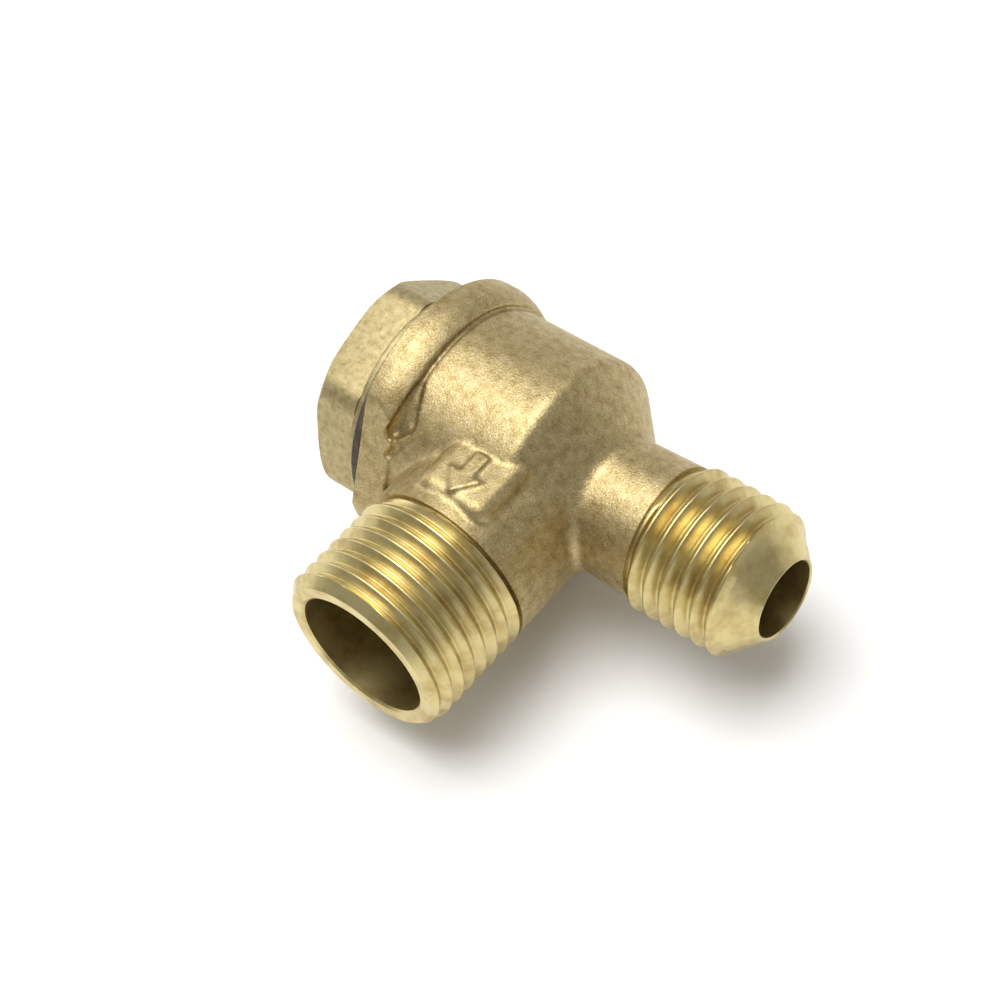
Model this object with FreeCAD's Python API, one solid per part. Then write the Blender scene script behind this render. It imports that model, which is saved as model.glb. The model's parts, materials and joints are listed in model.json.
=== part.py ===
import FreeCAD, Part
import math
import os
from FreeCAD import Vector

# Angle check valve for a compressed air tank. Millimetres.
# It is drawn about the point where the barrel and branch axes cross: the barrel lies along X with the
# inlet at +X, the branch (tank port) points to -Y and the marking pad faces +Z.
# At the end everything moves so that the origin is on the table, under the middle of the bounding box.

# barrel, shoulder cone and inlet neck
barrel_radius = 13.95
barrel_front_x = 2.7
shoulder_round = 1.8
shoulder_angle = 46.0
neck_start_radius = 7.75
neck_end_radius = 8.0
neck_root_round = 1.4

# wrench collar at the cap end: round, tapered towards the barrel, with a pair of flats for a spanner
collar_rise = 1.65
collar_front_rise = 0.55
collar_flat_rise = 0.05
collar_flat_turn = 24.0
collar_length = 4.2
collar_land = 1.4
collar_crown = 0.2
collar_edge_round = 0.4
collar_end_x = -14.8

# inlet port: male thread with a 45 degree flare nose
inlet_thread_radius = 8.62
inlet_thread_pitch = 2.0
inlet_thread_depth = 1.1
inlet_thread_start = 16.9
inlet_nose_start = 29.1
nose_base_radius = 7.5
nose_rim = 0.25
inlet_bore_radius = 4.5

# tank port: male parallel pipe thread, 1/2 inch
branch_radius = 10.25
tank_thread_radius = 10.4775
tank_thread_pitch = 1.814
tank_thread_depth = 1.1
tank_thread_start = 16.8
tank_port_end = 30.7
tank_end_length = 1.15
tank_end_radius = 9.5
outlet_wall = 1.4775
outlet_bore_chamfer = 0.3
outlet_bore_floor = 8.0

# thread form shared by both ports, as shares of the pitch
thread_crest_share = 0.2
thread_root_share = 0.12
relief_width = 0.4

# marking pad with a raised flow arrow
pad_height = 10.9
pad_back_x = -4.2
pad_front_x = 5.3
pad_outer_y = 15.5
pad_corner_round = 1.8
arrow_height = 0.3
arrow_length = 5.4
arrow_head_length = 2.4
arrow_head_width = 3.6
arrow_shaft_width = 1.3
arrow_tail_y = 8.9

# chamber and seat inside the barrel
cap_thread_radius = 11.0
cap_thread_floor_x = -8.4
cap_thread_chamfer = 0.5
chamber_radius = 10.2
chamber_floor_x = 3.2
chamber_floor_round = 1.2
seat_x = 2.0
seat_lip_radius = 5.9
seat_base_radius = 6.6

# cap gasket and hexagonal end cap
gasket_thickness = 1.3
gasket_width = 2.75
gasket_bore_clearance = 0.15
cap_flats = 24.0
cap_corner_round = 3.0
cap_turn = 41.0
cap_envelope_margin = 0.2
cap_hex_length = 5.8
cap_seat_width = 2.2
cap_washer_face_length = 0.8
cap_end_round = 1.8
cap_plug_inside_x = -9.0
cap_plug_chamfer = 0.5
cap_end_wall = 2.4

# spring pocket in the cap, and the spring
spring_wire_radius = 0.3
spring_mean_radius = 4.8
spring_turns = 6.0
spring_pocket_clearance = 0.4
spring_boss_clearance = 0.3
spring_pocket_floor_x = -15.5
spring_washer_thickness = 0.5
spring_washer_clearance = 0.1
spring_end_gap = 0.05

# poppet and what it carries
poppet_rim_wall = 1.0
poppet_back_x = -3.4
poppet_face_x = -0.4
poppet_rim_setback = 0.6
poppet_edge_chamfer = 0.4
stem_radius = 3.0
stem_guide_clearance = 0.05
stem_end_x = -14.0
disc_radius = 7.0
retainer_radius = 3.6
retainer_thickness = 0.8
screw_radius = 1.5
screw_hole_clearance = 0.05
screw_head_radius = 2.7
screw_head_height = 1.7
screw_head_round = 0.85
screw_length_in_poppet = 5.0
screw_slot_width = 0.7
screw_slot_depth = 0.9

# how far a cutting tool runs past the surface that it cuts
overrun = 1.0

cap_sides = 6
X_AXIS = Vector(1, 0, 0)
Y_AXIS = Vector(0, 1, 0)
Z_AXIS = Vector(0, 0, 1)


def rounded_wire(corners):
    """Closed wire in the XY plane from (x, y, round) corners, each round a tangent arc."""
    edges = []
    joins = []
    count = len(corners)
    for index in range(count):
        before = Vector(*corners[index - 1][:2], 0)
        here = Vector(*corners[index][:2], 0)
        after = Vector(*corners[(index + 1) % count][:2], 0)
        radius = corners[index][2]
        if radius == 0:
            joins.append((here, here, None))
            continue
        to_before = (before - here).normalize()
        to_after = (after - here).normalize()
        half_angle = to_before.getAngle(to_after) / 2
        reach = radius / math.tan(half_angle)
        bisector = (to_before + to_after).normalize()
        middle = here + bisector * (radius / math.sin(half_angle) - radius)
        joins.append((here + to_before * reach, here + to_after * reach, middle))
    for index in range(count):
        start, end, middle = joins[index]
        if middle is not None:
            edges.append(Part.Arc(start, middle, end).toShape())
        next_start = joins[(index + 1) % count][0]
        edges.append(Part.LineSegment(end, next_start).toShape())
    return Part.Wire(edges)


def turned(corners):
    """Solid turned about X from (x, radius, round) corners."""
    face = Part.Face(rounded_wire(corners))
    return face.revolve(Vector(0, 0, 0), X_AXIS, 360)


def cylinder_x(radius, start_x, end_x):
    return Part.makeCylinder(radius, end_x - start_x, Vector(start_x, 0, 0), X_AXIS)


def to_branch(shape):
    """Turn a shape drawn along +X so that it lies along -Y."""
    return shape.rotated(Vector(0, 0, 0), Z_AXIS, -90)


def polygon_prism(flats, corner_round, sides, turn, start_x, end_x):
    """Prism along X, its first corner turned from -Y towards +Z."""
    corner_radius = flats / 2 / math.cos(math.pi / sides)
    corners = []
    for index in range(sides):
        angle = math.radians(turn) + 2 * math.pi * index / sides
        corners.append((-corner_radius * math.cos(angle), corner_radius * math.sin(angle), corner_round))
    face = Part.Face(rounded_wire(corners))
    upright = face.extrude(Vector(0, 0, end_x - start_x))
    # the drawing's x, y and z become the valve's y, z and x
    turn_to_x = FreeCAD.Rotation(Y_AXIS, Z_AXIS, X_AXIS, "ZXY")
    upright.Placement = FreeCAD.Placement(Vector(start_x, 0, 0), turn_to_x)
    return upright


def thread_flank(pitch):
    """Length along the axis of one flank of a ridge."""
    return pitch * (1 - thread_crest_share - thread_root_share) / 2


def thread_corners(crest_radius, pitch, depth, start_x, last_crest_x):
    """Turned profile of a thread as rings, from the relief at start_x to the last ridge's crest."""
    root_radius = crest_radius - depth
    crest_land = thread_crest_share * pitch
    flank = thread_flank(pitch)
    first_rise = last_crest_x - crest_land - flank
    ridge_count = 1 + int((first_rise - start_x - relief_width) / pitch)
    corners = [(start_x - overrun, 0, 0), (start_x - overrun, root_radius, 0)]
    for index in range(ridge_count):
        crest_end = last_crest_x - (ridge_count - 1 - index) * pitch
        corners.append((crest_end - crest_land - flank, root_radius, 0))
        corners.append((crest_end - crest_land, crest_radius, 0))
        corners.append((crest_end, crest_radius, 0))
        corners.append((crest_end + flank, root_radius, 0))
    # what follows the last crest is the port's own end
    corners.pop()
    return corners


# sizes and places worked out from the ones above
collar_radius = barrel_radius + collar_rise
collar_flat_distance = barrel_radius + collar_flat_rise
tank_last_crest = tank_port_end - tank_end_length
outlet_bore_radius = tank_thread_radius - tank_thread_depth - outlet_wall
gasket_bore_radius = cap_thread_radius + gasket_bore_clearance
gasket_radius = gasket_bore_radius + gasket_width
cap_washer_face_radius = cap_thread_radius + cap_seat_width
poppet_radius = disc_radius + poppet_rim_wall
screw_hole_radius = screw_radius + screw_hole_clearance
collar_front_x = collar_end_x + collar_length
barrel_back_x = collar_end_x + collar_length / 2
cap_face_x = collar_end_x - gasket_thickness
cap_end_x = cap_face_x - cap_washer_face_length - cap_hex_length
nose_tip_radius = inlet_bore_radius + nose_rim
nose_tip_x = inlet_nose_start + nose_base_radius - nose_tip_radius
shoulder_drop = barrel_radius - neck_start_radius
neck_start_x = barrel_front_x + shoulder_round * math.tan(math.radians(shoulder_angle / 2)) \
    + shoulder_drop / math.tan(math.radians(shoulder_angle))
stem_bore_radius = stem_radius + stem_guide_clearance
spring_boss_radius = spring_mean_radius - spring_wire_radius - spring_boss_clearance
spring_pocket_radius = spring_mean_radius + spring_wire_radius + spring_pocket_clearance
spring_washer_x = spring_pocket_floor_x + spring_washer_thickness
rim_x = seat_x - poppet_rim_setback
widest_radius = max(collar_radius, gasket_radius)
rest_offset = Vector(
    -(cap_end_x + nose_tip_x) / 2,
    (tank_port_end - widest_radius) / 2,
    widest_radius,
)


def body_outside():
    barrel = turned([
        (barrel_back_x, 0, 0),
        (barrel_back_x, barrel_radius, 0),
        (barrel_front_x + shoulder_round * math.tan(math.radians(shoulder_angle / 2)), barrel_radius,
         shoulder_round),
        (neck_start_x, neck_start_radius, neck_root_round),
        (inlet_thread_start, neck_end_radius, 0),
        (inlet_thread_start, 0, 0),
    ])
    branch = to_branch(cylinder_x(branch_radius, 0, tank_thread_start))
    return barrel.fuse([wrench_collar(), branch, marking_pad()])


def wrench_collar():
    """Round collar whose taper bulges a little, as a forging die leaves it, with two flats."""
    land_start = Vector(collar_end_x + collar_edge_round, collar_radius, 0)
    land_end = Vector(collar_end_x + collar_land, collar_radius, 0)
    front_edge = Vector(collar_front_x, barrel_radius + collar_front_rise, 0)
    face_edge = Vector(collar_end_x, collar_radius - collar_edge_round, 0)
    corner_inset = collar_edge_round * (1 - math.cos(math.radians(45)))
    corner_middle = Vector(collar_end_x + corner_inset, collar_radius - corner_inset, 0)
    taper = (front_edge - land_end).normalize()
    crown_middle = (land_end + front_edge) / 2 + Vector(-taper.y, taper.x, 0) * collar_crown
    flat_sides = Part.makePolygon([
        front_edge, Vector(collar_front_x, 0, 0), Vector(collar_end_x, 0, 0), face_edge])
    outline = Part.Wire([
        *flat_sides.Edges,
        Part.Arc(face_edge, corner_middle, land_start).toShape(),
        Part.LineSegment(land_start, land_end).toShape(),
        Part.Arc(land_end, crown_middle, front_edge).toShape(),
    ])
    collar = Part.Face(outline).revolve(Vector(0, 0, 0), X_AXIS, 360)
    # what lies between the two flats, turned from -Y towards +Z
    between = Part.makeBox(
        collar_length + 2 * overrun, 2 * collar_flat_distance, 2 * collar_radius + 2 * overrun,
        Vector(collar_end_x - overrun, -collar_flat_distance, -collar_radius - overrun))
    between.rotate(Vector(0, 0, 0), X_AXIS, -collar_flat_turn)
    return collar.common(between)


def marking_pad():
    outline = rounded_wire([
        (pad_back_x, 0, 0),
        (pad_back_x, -pad_outer_y, pad_corner_round / 2),
        (pad_front_x, -pad_outer_y, pad_corner_round),
        (pad_front_x, 0, 0),
    ])
    pad = Part.Face(outline).extrude(Vector(0, 0, pad_height))
    return pad.fuse(flow_arrow())


def flow_arrow():
    """Raised arrow on the pad, pointing out of the tank port."""
    middle_x = (pad_back_x + pad_front_x) / 2
    tip_y = -(arrow_tail_y + arrow_length)
    neck_y = tip_y + arrow_head_length
    half_head = arrow_head_width / 2
    half_shaft = arrow_shaft_width / 2
    outline = Part.makePolygon([
        Vector(middle_x, tip_y, 0),
        Vector(middle_x + half_head, neck_y, 0),
        Vector(middle_x + half_shaft, neck_y, 0),
        Vector(middle_x + half_shaft, -arrow_tail_y, 0),
        Vector(middle_x - half_shaft, -arrow_tail_y, 0),
        Vector(middle_x - half_shaft, neck_y, 0),
        Vector(middle_x - half_head, neck_y, 0),
        Vector(middle_x, tip_y, 0),
    ])
    return Part.Face(outline).extrude(Vector(0, 0, pad_height + arrow_height))


def inlet_port():
    last_crest_x = inlet_nose_start - thread_flank(inlet_thread_pitch)
    corners = thread_corners(
        inlet_thread_radius, inlet_thread_pitch, inlet_thread_depth, inlet_thread_start, last_crest_x)
    corners.append((inlet_nose_start, nose_base_radius, 0))
    corners.append((nose_tip_x, nose_tip_radius, 0))
    corners.append((nose_tip_x, 0, 0))
    return turned(corners)


def tank_port():
    corners = thread_corners(
        tank_thread_radius, tank_thread_pitch, tank_thread_depth, tank_thread_start, tank_last_crest)
    corners.append((tank_port_end, tank_end_radius, 0))
    corners.append((tank_port_end, 0, 0))
    return to_branch(turned(corners))


def body_cavity():
    chamber = turned([
        (collar_end_x - overrun, 0, 0),
        (collar_end_x - overrun, cap_thread_radius + cap_thread_chamfer + overrun, 0),
        (collar_end_x + cap_thread_chamfer, cap_thread_radius, 0),
        (cap_thread_floor_x, cap_thread_radius, 0),
        (cap_thread_floor_x, chamber_radius, 0),
        (chamber_floor_x, chamber_radius, chamber_floor_round),
        (chamber_floor_x, seat_base_radius, 0),
        (seat_x, seat_lip_radius, 0),
        (seat_x, inlet_bore_radius, 0),
        (nose_tip_x + overrun, inlet_bore_radius, 0),
        (nose_tip_x + overrun, 0, 0),
    ])
    outlet = turned([
        (outlet_bore_floor, 0, 0),
        (outlet_bore_floor, outlet_bore_radius, 0),
        (tank_port_end - outlet_bore_chamfer, outlet_bore_radius, 0),
        (tank_port_end + overrun, outlet_bore_radius + outlet_bore_chamfer + overrun, 0),
        (tank_port_end + overrun, 0, 0),
    ])
    return chamber.fuse(to_branch(outlet))


def valve_body():
    solid = body_outside().fuse([inlet_port(), tank_port()])
    return solid.cut(body_cavity()).removeSplitter()


def end_cap():
    plug = turned([
        (cap_face_x, 0, 0),
        (cap_face_x, cap_thread_radius, 0),
        (cap_plug_inside_x - cap_plug_chamfer, cap_thread_radius, 0),
        (cap_plug_inside_x, cap_thread_radius - cap_plug_chamfer, 0),
        (cap_plug_inside_x, 0, 0),
    ])
    washer_face = cylinder_x(cap_washer_face_radius, cap_face_x - cap_washer_face_length, cap_face_x)
    hexagon = polygon_prism(
        cap_flats, cap_corner_round, cap_sides, cap_turn, cap_end_x, cap_face_x - cap_washer_face_length)
    # a larger turned shape rounds off the hexagon's corners at both ends
    corner_radius = (cap_flats / 2 - cap_corner_round) / math.cos(math.pi / cap_sides) + cap_corner_round
    envelope_radius = corner_radius + cap_envelope_margin
    hexagon_end_x = cap_face_x - cap_washer_face_length
    envelope = turned([
        (cap_end_x, 0, 0),
        (cap_end_x, envelope_radius, cap_end_round),
        (hexagon_end_x, envelope_radius, cap_end_round),
        (hexagon_end_x, 0, 0),
    ])
    pocket = cylinder_x(spring_pocket_radius, spring_pocket_floor_x, cap_plug_inside_x + overrun)
    boss = cylinder_x(spring_boss_radius, spring_pocket_floor_x - overrun, cap_plug_inside_x + 2 * overrun)
    guide = cylinder_x(stem_bore_radius, cap_end_x + cap_end_wall, cap_plug_inside_x + overrun)
    solid = plug.fuse([washer_face, hexagon.common(envelope)])
    return solid.cut(pocket.cut(boss)).cut(guide).removeSplitter()


def cap_gasket():
    ring = cylinder_x(gasket_radius, cap_face_x, collar_end_x)
    return ring.cut(cylinder_x(gasket_bore_radius, cap_face_x - overrun, collar_end_x + overrun))


def spring_washer():
    ring = cylinder_x(spring_pocket_radius - spring_washer_clearance, spring_pocket_floor_x, spring_washer_x)
    return ring.cut(cylinder_x(
        spring_boss_radius + spring_washer_clearance, spring_pocket_floor_x - overrun,
        spring_washer_x + overrun))


def return_spring():
    """Compression spring between the washer in the cap and the back of the poppet."""
    start_x = spring_washer_x + spring_wire_radius + spring_end_gap
    end_x = poppet_back_x - spring_wire_radius - spring_end_gap
    length = end_x - start_x
    helix = Part.makeLongHelix(length / spring_turns, length, spring_mean_radius)
    section = Part.Wire(Part.makeCircle(spring_wire_radius, Vector(spring_mean_radius, 0, 0), Y_AXIS))
    spring = Part.Wire(helix).makePipeShell([section], True, True)
    if spring.Volume < 0:
        spring.reverse()
    spring.rotate(Vector(0, 0, 0), Y_AXIS, 90)
    spring.translate(Vector(start_x, 0, 0))
    return spring


def poppet():
    """Cup that carries the rubber disc, with a stem that slides in the cap's guide bore."""
    blank = turned([
        (stem_end_x, 0, 0),
        (stem_end_x, stem_radius - poppet_edge_chamfer, 0),
        (stem_end_x + poppet_edge_chamfer, stem_radius, 0),
        (poppet_back_x, stem_radius, 0),
        (poppet_back_x, poppet_radius - poppet_edge_chamfer, 0),
        (poppet_back_x + poppet_edge_chamfer, poppet_radius, 0),
        (rim_x, poppet_radius, 0),
        (rim_x, disc_radius, 0),
        (poppet_face_x, disc_radius, 0),
        (poppet_face_x, 0, 0),
    ])
    return blank.cut(cylinder_x(screw_radius, poppet_face_x - screw_length_in_poppet, poppet_face_x + overrun))


def valve_disc():
    disc = cylinder_x(disc_radius, poppet_face_x, seat_x)
    return disc.cut(cylinder_x(screw_hole_radius, poppet_face_x - overrun, seat_x + overrun))


def disc_retainer():
    washer = cylinder_x(retainer_radius, seat_x, seat_x + retainer_thickness)
    return washer.cut(cylinder_x(screw_hole_radius, seat_x - overrun, seat_x + retainer_thickness + overrun))


def retainer_screw():
    head_x = seat_x + retainer_thickness
    head_end_x = head_x + screw_head_height
    shank = cylinder_x(screw_radius, poppet_face_x - screw_length_in_poppet, head_x)
    head = turned([
        (head_x, 0, 0),
        (head_x, screw_head_radius, 0),
        (head_end_x, screw_head_radius, screw_head_round),
        (head_end_x, 0, 0),
    ])
    slot = Part.makeBox(
        screw_slot_depth + overrun, 2 * (screw_head_radius + overrun), screw_slot_width,
        Vector(head_end_x - screw_slot_depth, -screw_head_radius - overrun, -screw_slot_width / 2))
    return shank.fuse(head).cut(slot).removeSplitter()


os.makedirs("parts", exist_ok=True)
for make_piece in (valve_body, end_cap, cap_gasket, spring_washer, return_spring,
                   poppet, valve_disc, disc_retainer, retainer_screw):
    piece = make_piece()
    piece.translate(rest_offset)
    piece.exportStep("parts/" + make_piece.__name__ + ".step")
    print(make_piece.__name__, "solids", len(piece.Solids), "valid", piece.isValid(),
          "volume", round(piece.Volume, 3))
print("rest offset", [round(value, 4) for value in rest_offset])
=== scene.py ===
import bpy
import json
import math
from mathutils import Matrix, Vector


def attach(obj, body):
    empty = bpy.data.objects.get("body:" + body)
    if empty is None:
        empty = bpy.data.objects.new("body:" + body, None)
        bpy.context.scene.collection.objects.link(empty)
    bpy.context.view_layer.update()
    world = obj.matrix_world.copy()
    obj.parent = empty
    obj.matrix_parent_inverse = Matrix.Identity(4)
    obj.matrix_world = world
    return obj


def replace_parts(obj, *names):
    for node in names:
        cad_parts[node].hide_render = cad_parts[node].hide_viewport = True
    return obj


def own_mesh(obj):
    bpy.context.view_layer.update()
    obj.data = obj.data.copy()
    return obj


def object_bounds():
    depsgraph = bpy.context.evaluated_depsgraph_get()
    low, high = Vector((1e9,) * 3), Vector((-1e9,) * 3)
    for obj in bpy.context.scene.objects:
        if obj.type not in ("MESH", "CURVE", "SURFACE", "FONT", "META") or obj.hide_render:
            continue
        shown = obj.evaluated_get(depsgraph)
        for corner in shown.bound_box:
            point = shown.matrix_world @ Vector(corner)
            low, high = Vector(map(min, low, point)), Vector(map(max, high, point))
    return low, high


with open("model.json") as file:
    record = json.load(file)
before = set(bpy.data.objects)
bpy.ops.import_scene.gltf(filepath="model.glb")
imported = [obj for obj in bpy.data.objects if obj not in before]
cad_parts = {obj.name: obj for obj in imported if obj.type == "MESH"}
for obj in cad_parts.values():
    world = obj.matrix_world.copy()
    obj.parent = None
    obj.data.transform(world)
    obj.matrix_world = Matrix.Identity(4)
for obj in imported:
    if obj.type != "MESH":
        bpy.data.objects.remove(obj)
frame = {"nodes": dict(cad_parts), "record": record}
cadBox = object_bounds()

mm = 0.001
mounts = {mount["name"]: mount for mount in frame["record"]["mounts"]}
# the barrel and branch axes cross here: the barrel runs along X, the tank port points to -Y
crossing = Vector((mounts["tank_thread"]["pos_m"][0], *mounts["inlet_thread"]["pos_m"][1:]))
# millimetres about the crossing to metres in the row frame
toValve = Matrix.Translation(crossing) @ Matrix.Scale(mm, 4)
toBranch = Matrix.Rotation(math.radians(-90), 4, "Z")  # turns +X to -Y
print("frame loaded")


# helpers: every piece is drawn in millimetres about the crossing, and moved to its place by finishPiece
def useOnly(piece):
    bpy.ops.object.select_all(action="DESELECT")
    piece.select_set(True)
    bpy.context.view_layer.objects.active = piece


def tidyMesh(piece, distance):
    useOnly(piece)
    bpy.ops.object.mode_set(mode="EDIT")
    bpy.ops.mesh.select_all(action="SELECT")
    bpy.ops.mesh.remove_doubles(threshold=distance)
    bpy.ops.mesh.dissolve_degenerate(threshold=distance)
    bpy.ops.mesh.normals_make_consistent(inside=False)
    bpy.ops.object.mode_set(mode="OBJECT")
    return piece


def applyModifier(piece, kind, **settings):
    useOnly(piece)
    modifier = piece.modifiers.new(kind.title(), kind)
    for name, value in settings.items():
        setattr(modifier, name, value)
    bpy.ops.object.modifier_apply(modifier=modifier.name)
    return piece


def joinPieces(pieces):
    useOnly(pieces[0])
    for piece in pieces[1:]:
        piece.select_set(True)
    bpy.ops.object.join()
    return pieces[0]


def cutAway(piece, tool, operation="DIFFERENCE"):
    applyModifier(piece, "BOOLEAN", object=tool, operation=operation, solver="EXACT",
                  material_mode="TRANSFER")
    bpy.data.objects.remove(tool)
    return piece


def trimAt(piece, point, normal):
    # cuts off what lies beyond the plane and closes the cut with a flat face
    useOnly(piece)
    bpy.ops.object.mode_set(mode="EDIT")
    bpy.ops.mesh.select_all(action="SELECT")
    bpy.ops.mesh.bisect(plane_co=point, plane_no=normal, use_fill=True, clear_outer=True)
    bpy.ops.object.mode_set(mode="OBJECT")
    return piece


def turnedPiece(name, stations, sides=128):
    # stations are (x, radius): a disc is added at the first and extruded and scaled through the rest
    firstX, firstRadius = stations[0]
    bpy.ops.object.select_all(action="DESELECT")
    bpy.ops.mesh.primitive_circle_add(vertices=sides, radius=firstRadius, fill_type="NGON",
                                      location=(firstX, 0, 0), rotation=(0, math.pi / 2, 0))
    piece = bpy.context.object
    piece.name = name
    bpy.ops.object.transform_apply(location=True, rotation=True, scale=True)
    bpy.ops.object.mode_set(mode="EDIT")
    bpy.ops.mesh.select_all(action="SELECT")
    for (fromX, fromRadius), (toX, toRadius) in zip(stations, stations[1:]):
        grow = toRadius / fromRadius
        bpy.ops.mesh.extrude_region_move(TRANSFORM_OT_translate={"value": (toX - fromX, 0, 0)})
        bpy.ops.transform.resize(value=(1, grow, grow), center_override=(toX, 0, 0))
    bpy.ops.object.mode_set(mode="OBJECT")
    return tidyMesh(piece, 0.0001)


def roundedStations(corners, segments=8):
    # (x, radius, round) corners as stations, each round drawn as an arc
    stations = []
    for index, (x, radius, rounding) in enumerate(corners):
        here = Vector((x, radius))
        if rounding == 0:
            stations.append((x, radius))
            continue
        toBefore = (Vector(corners[index - 1][:2]) - here).normalized()
        toAfter = (Vector(corners[index + 1][:2]) - here).normalized()
        halfAngle = toBefore.angle(toAfter) / 2
        centre = here + (toBefore + toAfter).normalized() * rounding / math.sin(halfAngle)
        start = here + toBefore * rounding / math.tan(halfAngle) - centre
        end = here + toAfter * rounding / math.tan(halfAngle) - centre
        for step in range(segments + 1):
            spoke = start.slerp(end, step / segments) * rounding
            stations.append((centre.x + spoke.x, centre.y + spoke.y))
    return stations


def prismPiece(name, flats, sides, turn, startX, endX, cornerRound):
    # prism along X, its first corner turned from -Y towards +Z, its long edges bevelled round
    cornerRadius = flats / 2 / math.cos(math.pi / sides)
    bpy.ops.object.select_all(action="DESELECT")
    bpy.ops.mesh.primitive_cylinder_add(vertices=sides, radius=cornerRadius, depth=endX - startX)
    piece = bpy.context.object
    piece.name = name
    lift = Matrix.Translation(((startX + endX) / 2, 0, 0))
    # local Z goes to X and local Y, where the first corner is, to the turned -Y
    angle = math.radians(turn)
    firstCorner = Vector((0, -math.cos(angle), math.sin(angle)))
    across = firstCorner.cross(Vector((1, 0, 0)))
    basis = Matrix((across, firstCorner, Vector((1, 0, 0)))).transposed().to_4x4()
    piece.data.transform(lift @ basis)
    useOnly(piece)
    bpy.ops.object.mode_set(mode="EDIT")
    bpy.ops.mesh.select_mode(type="EDGE")
    bpy.ops.mesh.select_all(action="DESELECT")
    bpy.ops.object.mode_set(mode="OBJECT")
    for edge in piece.data.edges:
        ends = [piece.data.vertices[index].co for index in edge.vertices]
        edge.select = abs(ends[0].x - ends[1].x) > 0.9 * (endX - startX)
    bpy.ops.object.mode_set(mode="EDIT")
    reach = cornerRound * math.tan(math.pi / sides)
    bpy.ops.mesh.bevel(offset=reach, offset_type="OFFSET", segments=8, profile=0.5)
    bpy.ops.mesh.normals_make_consistent(inside=False)
    bpy.ops.object.mode_set(mode="OBJECT")
    return piece


def coverWith(piece, material):
    # one finish all over: booleans can leave an empty slot, so the slots are cleared first
    piece.data.materials.clear()
    piece.data.materials.append(material)
    return piece


def finishPiece(piece, name, body, material, smoothAngle=35):
    piece.name = name
    piece.data.name = name
    piece.data.transform(toValve)
    useOnly(piece)
    bpy.ops.object.shade_smooth_by_angle(angle=math.radians(smoothAngle))
    if not any(piece.data.materials):
        coverWith(piece, material)
    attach(piece, body)
    print("made", name, len(piece.data.polygons), "faces")
    return piece


# materials
def hexColour(text):
    channels = [int(text[index:index + 2], 16) / 255 for index in (1, 3, 5)]
    linear = [value / 12.92 if value <= 0.04045 else ((value + 0.055) / 1.055) ** 2.4 for value in channels]
    return (*linear, 1.0)


def addNode(tree, kind, inputs=(), **settings):
    node = tree.nodes.new("ShaderNode" + kind)
    for name, value in settings.items():
        setattr(node, name, value)
    for name, value in dict(inputs).items():
        if isinstance(value, bpy.types.NodeSocket):
            tree.links.new(value, node.inputs[name])
        else:
            node.inputs[name].default_value = value
    return node


def newMaterial(name, settings):
    material = bpy.data.materials.new(name)
    material.use_nodes = True
    shader = material.node_tree.nodes["Principled BSDF"]
    for socket, value in settings.items():
        shader.inputs[socket].default_value = value
    return material, material.node_tree, shader


def objectPoint(tree):
    return addNode(tree, "TexCoord").outputs["Object"]


def noiseAt(tree, point, sizeMm, detail=2.0, roughness=0.5):
    # one blotch of the noise is about sizeMm across
    return addNode(tree, "TexNoise", {"Vector": point, "Scale": 1 / (sizeMm * mm), "Detail": detail,
                                      "Roughness": roughness})


def rampBetween(tree, factor, stops):
    ramp = addNode(tree, "ValToRGB", {"Fac": factor})
    elements = ramp.color_ramp.elements
    while len(elements) < len(stops):
        elements.new(0.5)
    for element, (position, colour) in zip(elements, stops):
        element.position = position
        element.color = hexColour(colour)
    return ramp.outputs["Color"]


def threeTones(tree, factor, look):
    return rampBetween(tree, factor, [(0.3, look["dark"]), (0.5, look["mid"]), (0.68, look["pale"])])


def multiplied(tree, share, colour, by):
    mix = addNode(tree, "Mix", {"Factor": share, "A": colour, "B": by}, data_type="RGBA",
                  blend_type="MULTIPLY")
    return mix.outputs["Result"]


# hot forged brass, sandblasted: a pale dull yellow skin with fine round grit marks and a faint mottle, and
# painted shade darkening its inside corners
forgedBrassLook = {
    "pale": "#CDBD92",
    "mid": "#C0AF82",
    "dark": "#A9966A",
    "mottle": 1.1,
    "grain": 0.16,
    "speck": "#CDBFA0",
    "speckShare": 0.8,
    "grit": 0.3,
    "gritDepth": 0.022,
    # colour of the painted shade, with some dirt, in the inside corners
    "recessShadeAndDirt": "#7A6A4A",
    "roughness": 0.48,
}


def forgedBrass():
    look = forgedBrassLook
    material, tree, shader = newMaterial("forgedBrass", {"Metallic": 1.0})
    point = objectPoint(tree)
    mottle = noiseAt(tree, point, look["mottle"], 4.0, 0.6)
    skin = threeTones(tree, mottle.outputs["Fac"], look)
    grain = noiseAt(tree, point, look["grain"], 3.0, 0.7)
    speck = rampBetween(tree, grain.outputs["Fac"], [(0.38, look["speck"]), (0.56, "#FFFFFF")])
    colour = multiplied(tree, look["speckShare"], skin, speck)
    # painted shade: the inside corners are darkened by pointiness, standing for the shade that falls there
    # together with some dirt and scale
    corners = addNode(tree, "NewGeometry")
    recessShadeAndDirt = rampBetween(tree, corners.outputs["Pointiness"], [(0.4, look["recessShadeAndDirt"]), (0.485, "#FFFFFF")])
    tree.links.new(multiplied(tree, 1.0, colour, recessShadeAndDirt), shader.inputs["Base Color"])
    rough = addNode(tree, "MapRange", {"Value": grain.outputs["Fac"], "To Min": look["roughness"] + 0.12,
                                       "To Max": look["roughness"] - 0.1})
    tree.links.new(rough.outputs["Result"], shader.inputs["Roughness"])
    grit = addNode(tree, "TexVoronoi", {"Vector": point, "Scale": 1 / (look["grit"] * mm)})
    height = addNode(tree, "Math", {0: grit.outputs["Distance"], 1: grain.outputs["Fac"]}, operation="ADD")
    bump = addNode(tree, "Bump", {"Strength": 0.8, "Distance": look["gritDepth"] * mm,
                                  "Height": height.outputs["Value"]})
    tree.links.new(bump.outputs["Normal"], shader.inputs["Normal"])
    return material


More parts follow.
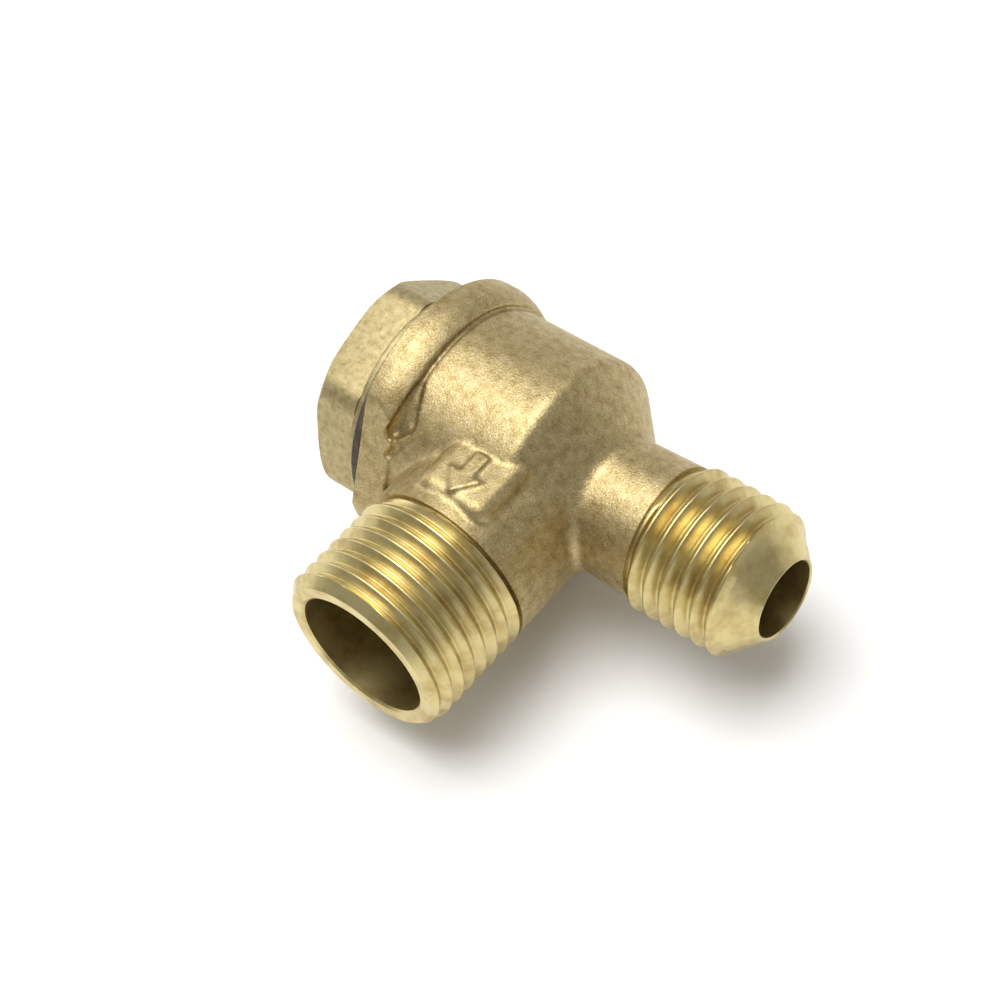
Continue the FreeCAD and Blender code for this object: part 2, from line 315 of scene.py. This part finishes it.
# turned brass: bright yellow, with fine tool marks round the axis
turnedBrassLook = {"bright": "#D4C48C", "deep": "#B8A26A", "mark": 0.12, "markDepth": 0.008,
                   "stain": 2.6, "roughness": 0.36}
# the bores are rough drilled and dusty, so they are duller than the threads
boredBrassLook = {"bright": "#CDBC8C", "deep": "#A4905E", "mark": 0.5, "markDepth": 0.02,
                  "stain": 1.8, "roughness": 0.5}


def turnedBrass(name, alongX, look=turnedBrassLook):
    material, tree, shader = newMaterial(name, {"Metallic": 1.0})
    point = addNode(tree, "Mapping", {"Vector": objectPoint(tree), "Location": -crossing}).outputs["Vector"]
    split = addNode(tree, "SeparateXYZ", {"Vector": point})
    along, side = ("X", "Y") if alongX else ("Y", "X")
    across, up = split.outputs[side], split.outputs["Z"]
    sideSquare = addNode(tree, "Math", {0: across, 1: across}, operation="MULTIPLY")
    radiusSquare = addNode(tree, "Math", {0: up, 1: up, 2: sideSquare.outputs["Value"]},
                           operation="MULTIPLY_ADD")
    radius = addNode(tree, "Math", {0: radiusSquare.outputs["Value"]}, operation="SQRT")
    ring = addNode(tree, "CombineXYZ", {"X": split.outputs[along], "Y": radius.outputs["Value"]})
    marks = noiseAt(tree, ring.outputs["Vector"], look["mark"], 2.0, 0.6)
    stain = noiseAt(tree, point, look["stain"], 4.0, 0.6)
    colour = rampBetween(tree, stain.outputs["Fac"], [(0.32, look["deep"]), (0.58, look["bright"])])
    tree.links.new(colour, shader.inputs["Base Color"])
    rough = addNode(tree, "MapRange", {"Value": stain.outputs["Fac"], "To Min": look["roughness"] + 0.05,
                                       "To Max": look["roughness"] - 0.04})
    tree.links.new(rough.outputs["Result"], shader.inputs["Roughness"])
    bump = addNode(tree, "Bump", {"Strength": 0.7, "Distance": look["markDepth"] * mm,
                                  "Height": marks.outputs["Fac"]})
    tree.links.new(bump.outputs["Normal"], shader.inputs["Normal"])
    return material


# drawn brass hexagon, tumbled: duller than the threads, with long faint scratches; its small dents are not
# drawn
capBrassLook = {"pale": "#BEAF86", "mid": "#B1A276", "dark": "#98875C", "blotch": 0.7, "scratch": 0.2,
                "depth": 0.025, "roughness": 0.5}


def capBrass():
    look = capBrassLook
    material, tree, shader = newMaterial("capBrass", {"Metallic": 1.0})
    point = objectPoint(tree)
    blotch = noiseAt(tree, point, look["blotch"], 5.0, 0.65)
    skin = threeTones(tree, blotch.outputs["Fac"], look)
    tree.links.new(skin, shader.inputs["Base Color"])
    stretched = addNode(tree, "Mapping", {"Vector": point, "Scale": (0.25, 1.0, 1.0)})
    scratch = noiseAt(tree, stretched.outputs["Vector"], look["scratch"], 3.0, 0.7)
    rough = addNode(tree, "MapRange", {"Value": scratch.outputs["Fac"], "To Min": look["roughness"] + 0.15,
                                       "To Max": look["roughness"] - 0.1})
    tree.links.new(rough.outputs["Result"], shader.inputs["Roughness"])
    bump = addNode(tree, "Bump", {"Strength": 0.8, "Distance": look["depth"] * mm,
                                  "Height": scratch.outputs["Fac"]})
    tree.links.new(bump.outputs["Normal"], shader.inputs["Normal"])
    return material


# moulded or punched rubber: dull and dark, with a dusty bloom
rubberLook = {"specular": 0.35, "bloom": 0.8, "pore": 0.15, "poreDepth": 0.01}


def mouldedRubber(name, dark, dusty, roughness):
    look = rubberLook
    material, tree, shader = newMaterial(name, {"Specular IOR Level": look["specular"],
                                                "Roughness": roughness})
    point = objectPoint(tree)
    bloom = noiseAt(tree, point, look["bloom"], 4.0, 0.6)
    colour = rampBetween(tree, bloom.outputs["Fac"], [(0.35, dark), (0.7, dusty)])
    tree.links.new(colour, shader.inputs["Base Color"])
    pores = noiseAt(tree, point, look["pore"], 2.0)
    bump = addNode(tree, "Bump", {"Strength": 0.5, "Distance": look["poreDepth"] * mm,
                                  "Height": pores.outputs["Fac"]})
    tree.links.new(bump.outputs["Normal"], shader.inputs["Normal"])
    return material


# bright steel, zinc plated or drawn: grey, with a faint cloud in its polish
steelLook = {"cloud": 0.5, "cloudDepth": 0.004}


def plainSteel(name, colour, roughness):
    material, tree, shader = newMaterial(name, {"Metallic": 1.0, "Base Color": hexColour(colour)})
    point = objectPoint(tree)
    cloud = noiseAt(tree, point, steelLook["cloud"], 3.0)
    rough = addNode(tree, "MapRange", {"Value": cloud.outputs["Fac"], "To Min": roughness - 0.08,
                                       "To Max": roughness + 0.1})
    tree.links.new(rough.outputs["Result"], shader.inputs["Roughness"])
    bump = addNode(tree, "Bump", {"Strength": 0.4, "Distance": steelLook["cloudDepth"] * mm,
                                  "Height": cloud.outputs["Fac"]})
    tree.links.new(bump.outputs["Normal"], shader.inputs["Normal"])
    return material


forged = forgedBrass()
turnedAlongX = turnedBrass("turnedBrassBarrel", True)
turnedAlongY = turnedBrass("turnedBrassBranch", False)
boredBrass = turnedBrass("boredBrass", False, boredBrassLook)
capMetal = capBrass()
gasketRubber = mouldedRubber("gasketRubber", "#3E382C", "#585040", 0.62)
discRubber = mouldedRubber("nitrileRubber", "#161617", "#242426", 0.5)
zincSteel = plainSteel("zincPlatedSteel", "#B9BBBC", 0.32)
springSteel = plainSteel("springSteel", "#A4A5A6", 0.28)
print("materials made")

# the forging is drawn as barrel, branch, collar, pad and arrow, and joined into one skin
def boxPiece(name, low, high):
    centre = [(a + b) / 2 for a, b in zip(low, high)]
    size = [b - a for a, b in zip(low, high)]
    bpy.ops.object.select_all(action="DESELECT")
    bpy.ops.mesh.primitive_cube_add(size=1, location=centre, scale=size)
    piece = bpy.context.object
    piece.name = name
    bpy.ops.object.transform_apply(location=True, rotation=True, scale=True)
    return piece


padSizes = {"back": -4.2, "front": 5.3, "outer": 15.5, "inner": 2.0, "top": 10.95, "cornerRound": 1.7}


def markingPad():
    pad = padSizes
    piece = boxPiece("pad", (pad["back"], -pad["outer"], 0), (pad["front"], -pad["inner"], pad["top"]))
    for edge in piece.data.edges:
        ends = [piece.data.vertices[index].co for index in edge.vertices]
        upright = abs(ends[0].z - ends[1].z) > 1
        edge.select = upright and ends[0].y < -pad["inner"] - 1
    useOnly(piece)
    bpy.ops.object.mode_set(mode="EDIT")
    bpy.ops.mesh.bevel(offset=pad["cornerRound"], segments=6, profile=0.5)
    bpy.ops.object.mode_set(mode="OBJECT")
    return piece


# a plain arrow raised on the pad, pointing out of the tank port
arrowSizes = {"tail": 9.0, "tip": 14.6, "tipShare": 0.02, "headLength": 2.7, "headWidth": 4.4,
              "shaftWidth": 1.6, "sunk": 1.0, "raise": 0.4}


def flowArrow():
    arrow = arrowSizes
    middle = (padSizes["back"] + padSizes["front"]) / 2
    low = padSizes["top"] - arrow["sunk"]
    high = padSizes["top"] + arrow["raise"]
    neck = -(arrow["tip"] - arrow["headLength"])
    shaft = boxPiece("arrowShaft", (middle - arrow["shaftWidth"] / 2, neck, low),
                     (middle + arrow["shaftWidth"] / 2, -arrow["tail"], high))
    head = boxPiece("arrowHead", (middle - arrow["headWidth"] / 2, -arrow["tip"], low),
                    (middle + arrow["headWidth"] / 2, neck, high))
    for vertex in head.data.vertices:
        if vertex.co.y < neck - 1:
            vertex.co.x = middle + (vertex.co.x - middle) * arrow["tipShare"]
    return [shaft, head]


# the collar is round and tapered, with a slight bulge and two flats for a spanner
collarSizes = {"end": -14.8, "land": -13.4, "front": -10.6, "radius": 15.6, "frontRadius": 14.5,
               "edgeRound": 0.15, "crown": 0.2, "crownSteps": 6, "flatDistance": 14.0, "flatTurn": 24.0}


def collarCrown():
    # stations between the land and the front edge, raised off the straight taper by a shallow arc
    collar = collarSizes
    length = collar["front"] - collar["land"]
    fall = collar["frontRadius"] - collar["radius"]
    stations = []
    for step in range(1, collar["crownSteps"]):
        share = step / collar["crownSteps"]
        bulge = 4 * share * (1 - share) * collar["crown"]
        stations.append((collar["land"] + share * length, collar["radius"] + share * fall + bulge, 0))
    return stations


def wrenchCollar():
    collar = collarSizes
    piece = turnedPiece("collar", roundedStations([
        (collar["end"] - 1, collar["radius"], 0),
        (collar["land"], collar["radius"], 0),
        *collarCrown(),
        (collar["front"], collar["frontRadius"], collar["edgeRound"]),
        (collar["front"], 1, 0),
    ]))
    turn = math.radians(collar["flatTurn"])
    toFlat = Vector((0, -math.cos(turn), math.sin(turn)))
    for side in (toFlat, -toFlat):
        trimAt(piece, side * collar["flatDistance"], side)
    return piece


barrelSizes = {"radius": 13.95, "back": -12.0, "front": 2.7, "shoulderRound": 1.8, "shoulderAngle": 46.0}
neckSizes = {"start": 7.75, "end": 8.05, "rootRound": 1.4, "overrun": 1.5}
branchSizes = {"radius": 10.4, "overrun": 1.5}


def barrelAndBranch():
    barrel = barrelSizes
    neck = neckSizes
    halfTurn = math.radians(barrel["shoulderAngle"] / 2)
    shoulderX = barrel["front"] + barrel["shoulderRound"] * math.tan(halfTurn)
    neckX = shoulderX + (barrel["radius"] - neck["start"]) / math.tan(2 * halfTurn)
    barrelPiece = turnedPiece("barrel", roundedStations([
        (barrel["back"], barrel["radius"], 0),
        (shoulderX, barrel["radius"], barrel["shoulderRound"]),
        (neckX, neck["start"], neck["rootRound"]),
        (inletSizes["start"] + neck["overrun"], neck["end"], 0),
    ]))
    branch = turnedPiece("branch", [(0, branchSizes["radius"]), (tankSizes["start"] + branchSizes["overrun"],
                                                                 branchSizes["radius"])])
    branch.data.transform(toBranch)
    return [barrelPiece, branch]


forgingSizes = {"wideVoxel": 0.3, "wideSmooth": 30, "fineVoxel": 0.21, "fineSmooth": 3}


def forgingSkin():
    skin = joinPieces(barrelAndBranch())
    applyModifier(skin, "REMESH", mode="VOXEL", voxel_size=forgingSizes["wideVoxel"])
    applyModifier(skin, "SMOOTH", factor=0.5, iterations=forgingSizes["wideSmooth"])
    # the sharp barrel and branch go back in, so that only their inside corners stay filleted
    skin = joinPieces([skin, *barrelAndBranch(), wrenchCollar(), markingPad(), *flowArrow()])
    applyModifier(skin, "REMESH", mode="VOXEL", voxel_size=forgingSizes["fineVoxel"])
    cutAway(skin, hollowTool())
    cutAway(skin, grooveTool())
    applyModifier(skin, "REMESH", mode="VOXEL", voxel_size=forgingSizes["fineVoxel"])
    applyModifier(skin, "SMOOTH", factor=0.5, iterations=forgingSizes["fineSmooth"])
    trimAt(skin, (collarSizes["end"], 0, 0), (-1, 0, 0))
    trimAt(skin, (inletSizes["start"], 0, 0), (1, 0, 0))
    trimAt(skin, (0, -tankSizes["start"], 0), (0, -1, 0))
    return skin


# a three-sided hollow beside the pad, against the collar, and a slot below it with a thin ridge between.
# each row of balls runs from start to end, given as
# (angle up from the branch, x, distance from the barrel's axis, ball radius)
hollowSizes = {
    "count": 16,
    "voxel": 0.12,
    "rows": (
        ((66, -10.4, 14.1, 0.4), (47, -9.6, 13.9, 0.95)),
        ((66, -10.4, 14.1, 0.4), (41, -10.9, 14.0, 0.95)),
        ((40, -10.9, 13.95, 0.85), (46, -9.5, 13.9, 0.85)),
        ((29, -10.8, 14.1, 0.55), (44, -7.9, 14.1, 0.55)),
    ),
}


def hollowTool():
    hollow = hollowSizes
    balls = []
    for start, end in hollow["rows"]:
        for step in range(hollow["count"]):
            share = step / (hollow["count"] - 1)
            angle, x, reach, ball = (a + (b - a) * share for a, b in zip(start, end))
            turn = math.radians(angle)
            bpy.ops.object.select_all(action="DESELECT")
            bpy.ops.mesh.primitive_ico_sphere_add(
                subdivisions=3, radius=ball, location=(x, -reach * math.cos(turn), reach * math.sin(turn)))
            bpy.ops.object.transform_apply(location=True, rotation=True, scale=True)
            balls.append(bpy.context.object)
    return applyModifier(joinPieces(balls), "REMESH", mode="VOXEL", voxel_size=hollow["voxel"])


# the narrow groove where the collar's front edge meets the barrel
grooveSizes = {"x": -10.42, "radius": 14.1, "half": 0.34}


def grooveTool():
    groove = grooveSizes
    bpy.ops.object.select_all(action="DESELECT")
    bpy.ops.mesh.primitive_torus_add(
        location=(groove["x"], 0, 0), rotation=(0, math.pi / 2, 0), major_segments=128, minor_segments=12,
        major_radius=groove["radius"], minor_radius=groove["half"])
    bpy.ops.object.transform_apply(location=True, rotation=True, scale=True)
    return bpy.context.object


cavitySizes = {"capThread": 11.0, "capThreadFloor": -8.4, "chamber": 10.2, "floor": 3.2, "floorRound": 1.2,
               "seat": 2.0, "lip": 5.9, "lipBase": 6.6, "outletFloor": 8.0}


def chamberTool():
    cavity = cavitySizes
    tool = turnedPiece("chamber", roundedStations([
        (collarSizes["end"] - 1, cavity["capThread"], 0),
        (cavity["capThreadFloor"], cavity["capThread"], 0),
        (cavity["capThreadFloor"], cavity["chamber"], 0),
        (cavity["floor"], cavity["chamber"], cavity["floorRound"]),
        (cavity["floor"], cavity["lipBase"], 0),
        (cavity["seat"], cavity["lip"], 0),
        (cavity["seat"], inletSizes["bore"], 0),
        (inletSizes["start"] + 1, inletSizes["bore"], 0),
    ]))
    return coverWith(tool, boredBrass)


def outletTool():
    tool = turnedPiece("outlet", [(cavitySizes["outletFloor"], tankSizes["bore"]),
                                  (tankSizes["start"] + 1, tankSizes["bore"])])
    tool.data.transform(toBranch)
    return coverWith(tool, boredBrass)


def valveForging():
    skin = coverWith(forgingSkin(), forged)
    cutAway(skin, chamberTool())
    cutAway(skin, outletTool())
    piece = finishPiece(skin, "valveForging", "valve", forged)
    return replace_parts(piece, "valve_body")


# the two machined ports
tankSizes = {"crest": 10.4775, "depth": 0.8, "pitch": 1.814, "start": 16.8, "relief": 0.15, "crestEnd": 29.6,
             "end": 30.7, "endRadius": 9.45, "bore": 7.9, "boreChamfer": 0.25, "hidden": 14.8}
inletSizes = {"crest": 8.62, "depth": 1.12, "pitch": 2.0, "start": 16.9, "relief": 0.4, "crestEnd": 28.4,
              "end": 29.1, "endRadius": 7.5, "bore": 4.5, "rim": 0.25, "hidden": 14.8}
# one tooth of the thread: share of the pitch, share of the depth below the crest
toothShape = ((0.0, 0.02), (0.03, 0.0), (0.09, 0.0), (0.12, 0.02), (0.17, 0.11), (0.44, 0.83), (0.5, 0.95),
              (0.56, 1.0), (0.62, 0.95), (0.68, 0.83), (0.95, 0.11))
runInSlope = 2  # how fast the thread rises out of its relief


def threadRows(port):
    # rows of the thread as (x, radius): the tooth repeated from before the start to past the end
    rows = []
    first = int((port["start"] - port["crestEnd"]) / port["pitch"]) - 2
    for turn in range(first, 3):
        for along, below in toothShape:
            rows.append((port["crestEnd"] + (turn + along) * port["pitch"],
                         port["crest"] - below * port["depth"]))
    return rows


def portPiece(name, port, endRows, columns=192):
    # a grid wrapped round the axis: the thread's rows climb one pitch a turn, and the rest are plain rings
    root = port["crest"] - port["depth"]
    hiddenRows = [(port["hidden"], port["bore"]), (port["hidden"], root)]
    rows = [(*row, False) for row in hiddenRows]
    rows += [(*row, True) for row in threadRows(port)]
    rows += [(*row, False) for row in [*endRows, hiddenRows[0]]]
    bpy.ops.object.select_all(action="DESELECT")
    bpy.ops.mesh.primitive_grid_add(x_subdivisions=columns, y_subdivisions=len(rows) - 1, size=1)
    piece = bpy.context.object

    def limit(x):
        # the turned blank that the thread is cut in: relief, run-in slope, crest, end chamfer
        slope = root + runInSlope * max(0, x - port["start"] - port["relief"])
        chamfer = port["endRadius"] + (port["end"] - x) * (port["crest"] - port["endRadius"]) / (
            port["end"] - port["crestEnd"])
        return min(port["crest"], slope, chamfer)

    for vertex in piece.data.vertices:
        turn = vertex.co.x + 0.5
        x, radius, climbs = rows[round((vertex.co.y + 0.5) * (len(rows) - 1))]
        if climbs:
            x = min(max(x + turn * port["pitch"], port["start"]), port["end"])
            onEnd = x in (port["start"], port["end"])
            radius = limit(x) if onEnd else min(radius, limit(x))
        angle = 2 * math.pi * turn
        vertex.co = (x, radius * math.sin(angle), radius * math.cos(angle))
    return tidyMesh(piece, 0.002)


def tankPort():
    port = tankSizes
    piece = portPiece("tankPort", port, [
        (port["end"], port["bore"] + port["boreChamfer"]),
        (port["end"] - port["boreChamfer"], port["bore"]),
    ])
    piece.data.transform(toBranch)
    piece = finishPiece(piece, "tankPort", "valve", turnedAlongY)
    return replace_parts(piece, "valve_body")


def inletPort():
    port = inletSizes
    tip = port["bore"] + port["rim"]
    piece = portPiece("inletPort", port, [
        (port["end"] + port["endRadius"] - tip, tip),
        (port["end"] + port["endRadius"] - tip, tip - 0.1),
        (port["end"] + port["endRadius"] - tip - 0.15, port["bore"]),
    ])
    piece = finishPiece(piece, "inletPort", "valve", turnedAlongX)
    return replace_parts(piece, "valve_body")


# the hexagonal end cap and its gasket
capSizes = {"flats": 24.0, "cornerRound": 3.0, "sides": 6, "turn": 41.0, "face": -16.1, "washerFace": 13.2,
            "washerLength": 0.8, "end": -22.7, "endRound": 1.8, "backRound": 0.7,
            "cornerMargin": 0.2, "edgeBevel": 0.18, "washerRound": 0.15, "plugEnd": -9.0, "plugChamfer": 0.5,
            "pocket": 5.5, "pocketFloor": -15.5, "boss": 4.2, "guide": 3.05, "guideFloor": -20.3}
gasketSizes = {"inner": 11.15, "outer": 13.9, "front": -14.8, "back": -16.1, "round": 0.35}


def endCap():
    cap = capSizes
    hexEnd = cap["face"] - cap["washerLength"]
    hexagon = prismPiece("hexagon", cap["flats"], cap["sides"], cap["turn"], cap["end"], hexEnd + 0.01,
                         cap["cornerRound"])
    cornerReach = (cap["flats"] / 2 - cap["cornerRound"]) / math.cos(math.pi / cap["sides"])
    widest = cornerReach + cap["cornerRound"] + cap["cornerMargin"]
    envelope = turnedPiece("envelope", roundedStations([
        (cap["end"] - 0.01, 1, 0),
        (cap["end"] - 0.01, widest, cap["endRound"]),
        (hexEnd + 0.02, widest, cap["backRound"]),
        (hexEnd + 0.02, 1, 0),
    ]))
    cutAway(hexagon, envelope, "INTERSECT")
    applyModifier(hexagon, "BEVEL", width=cap["edgeBevel"], segments=3, limit_method="ANGLE",
                  angle_limit=math.radians(25))
    shank = turnedPiece("shank", roundedStations([
        (hexEnd - 0.3, cap["washerFace"] - 0.3, 0),
        (hexEnd, cap["washerFace"], cap["washerRound"]),
        (cap["face"], cap["washerFace"], cap["washerRound"]),
        (cap["face"], cavitySizes["capThread"], 0),
        (cap["plugEnd"] - cap["plugChamfer"], cavitySizes["capThread"], 0),
        (cap["plugEnd"], cavitySizes["capThread"] - cap["plugChamfer"], 0),
    ]))
    cutAway(shank, hexagon, "UNION")
    pocket = turnedPiece("pocket", [(cap["pocketFloor"], cap["pocket"]),
                                    (cap["plugEnd"] + 1, cap["pocket"])])
    boss = turnedPiece("boss", [(cap["pocketFloor"] - 1, cap["boss"]), (cap["plugEnd"] + 2, cap["boss"])])
    cutAway(shank, cutAway(pocket, boss))
    guide = turnedPiece("guide", [(cap["guideFloor"], cap["guide"]), (cap["plugEnd"] + 1, cap["guide"])])
    cutAway(shank, guide)
    piece = finishPiece(shank, "endCap", "valve", capMetal)
    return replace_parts(piece, "end_cap")


def capGasket():
    gasket = gasketSizes
    ring = turnedPiece("ring", roundedStations([
        (gasket["front"], gasket["inner"] - 1, 0),
        (gasket["front"], gasket["outer"], gasket["round"]),
        (gasket["back"], gasket["outer"], gasket["round"]),
        (gasket["back"], gasket["inner"] - 1, 0),
    ]))
    hole = turnedPiece("hole", [(gasket["back"] - 1, gasket["inner"]),
                                (gasket["front"] + 1, gasket["inner"])])
    cutAway(ring, hole)
    piece = finishPiece(ring, "capGasket", "valve", gasketRubber)
    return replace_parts(piece, "cap_gasket")


# the return spring, at its length with the valve shut; the real spring shortens towards the cap as the
# poppet lifts, but here it is drawn at this one length
springSizes = {"wire": 0.3, "mean": 4.8, "start": -14.65, "end": -3.75, "closedTurns": 1, "openTurns": 4,
               "closedPitch": 0.65, "keep": 0.54, "stepsPerTurn": 40, "wireSides": 12}


def springCoil(startX, turns, pitch):
    # the wire's section, swept round X by a screw modifier
    spring = springSizes
    bpy.ops.object.select_all(action="DESELECT")
    bpy.ops.mesh.primitive_circle_add(
        vertices=spring["wireSides"], radius=spring["wire"], location=(startX, 0, spring["mean"]),
        rotation=(math.pi / 2, 0, 0))
    coil = bpy.context.object
    bpy.ops.object.transform_apply(location=True, rotation=True, scale=True)
    steps = spring["stepsPerTurn"]
    return applyModifier(coil, "SCREW", axis="X", angle=2 * math.pi, screw_offset=pitch, iterations=turns,
                         steps=steps, render_steps=steps, use_smooth_shade=True)


def returnSpring():
    spring = springSizes
    closed = spring["closedTurns"] * spring["closedPitch"]
    openPitch = (spring["end"] - spring["start"] - 2 * closed) / spring["openTurns"]
    piece = joinPieces([
        springCoil(spring["start"], spring["closedTurns"], spring["closedPitch"]),
        springCoil(spring["start"] + closed, spring["openTurns"], openPitch),
        springCoil(spring["end"] - closed, spring["closedTurns"], spring["closedPitch"]),
    ])
    tidyMesh(piece, 0.001)
    # the two cut ends of the wire are closed
    bpy.ops.object.mode_set(mode="EDIT")
    bpy.ops.mesh.select_all(action="SELECT")
    bpy.ops.mesh.fill_holes(sides=spring["wireSides"])
    bpy.ops.mesh.normals_make_consistent(inside=False)
    bpy.ops.object.mode_set(mode="OBJECT")
    piece = finishPiece(piece, "returnSpring", "valve", springSteel, smoothAngle=60)
    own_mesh(piece)
    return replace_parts(piece, "return_spring")


valveForging()
tankPort()
inletPort()
endCap()
capGasket()
returnSpring()

# hidden pieces keep their CAD shape and take a finish of their own
nodeFinish = {
    "poppet": turnedAlongX,
    "valve_disc": discRubber,
    "disc_retainer": zincSteel,
    "retainer_screw": zincSteel,
    "spring_washer": zincSteel,
}
for nodeName, material in nodeFinish.items():
    node = frame["nodes"][nodeName]
    for materialSlot in node.material_slots:
        materialSlot.material = material
print("hidden pieces finished")

# floor, lights and camera
floorSizes = {"width": 3.0, "colour": "#FCFCFB", "roughness": 0.9, "specular": 0.2}
worldSizes = {"colour": "#F6F6F6", "strength": 0.33}
lightSizes = {
    "top": {"at": (-0.08, -0.04, 0.55), "size": 0.48, "power": 3.6},
    "left": {"at": (-0.6, 0.0, 0.2), "size": 0.35, "power": 0.6},
    "backLeft": {"at": (-0.25, 0.6, 0.12), "size": 0.5, "power": 0.5},
    "backRight": {"at": (0.35, 0.55, 0.1), "size": 0.5, "power": 0.4},
}
cameraSizes = {"azimuth": 48.298, "elevation": 51.0915, "roll": -11.134, "distance": 266.53,
               "target": (-2.056, -5.614, -1.773), "focalPixels": 2449.6, "imageWidth": 1001,
               "sensor": 36, "near": 0.01}


def floorPlane():
    bpy.ops.object.select_all(action="DESELECT")
    bpy.ops.mesh.primitive_plane_add(size=floorSizes["width"], location=(0, 0, cadBox[0].z))
    plane = bpy.context.object
    plane.name = "floor"
    material, tree, shader = newMaterial("paperFloor", {"Base Color": hexColour(floorSizes["colour"]),
                                                        "Roughness": floorSizes["roughness"]})
    shader.inputs["Specular IOR Level"].default_value = floorSizes["specular"]
    plane.data.materials.append(material)


def softBoxes():
    for name, light in lightSizes.items():
        bpy.ops.object.light_add(type="AREA", location=light["at"])
        lamp = bpy.context.object
        lamp.name = name
        lamp.data.size = light["size"]
        lamp.data.energy = light["power"]
        lamp.rotation_euler = (crossing - lamp.location).to_track_quat("-Z", "Y").to_euler()
    world = bpy.data.worlds.new("studio")
    bpy.context.scene.world = world
    world.use_nodes = True
    background = world.node_tree.nodes["Background"]
    background.inputs["Color"].default_value = hexColour(worldSizes["colour"])
    background.inputs["Strength"].default_value = worldSizes["strength"]


def studioCamera():
    view = cameraSizes
    azimuth, elevation, roll = (math.radians(view[name]) for name in ("azimuth", "elevation", "roll"))
    back = Vector((math.sin(azimuth) * math.cos(elevation), -math.cos(azimuth) * math.cos(elevation),
                   math.sin(elevation)))
    level = Vector((math.cos(azimuth), math.sin(azimuth), 0))
    right = level * math.cos(roll) + back.cross(level) * math.sin(roll)
    up = back.cross(right)
    bpy.ops.object.camera_add()
    camera = bpy.context.object
    target = crossing + Vector(view["target"]) * mm
    turn = Matrix((right, up, back)).transposed()
    camera.matrix_world = Matrix.Translation(target + back * view["distance"] * mm) @ turn.to_4x4()
    camera.data.sensor_width = view["sensor"]
    camera.data.lens = view["sensor"] * view["focalPixels"] / view["imageWidth"]
    camera.data.clip_start = view["near"]
    bpy.context.scene.camera = camera


floorPlane()
softBoxes()
studioCamera()
bpy.context.scene.view_settings.view_transform = "Standard"
print("stage set")
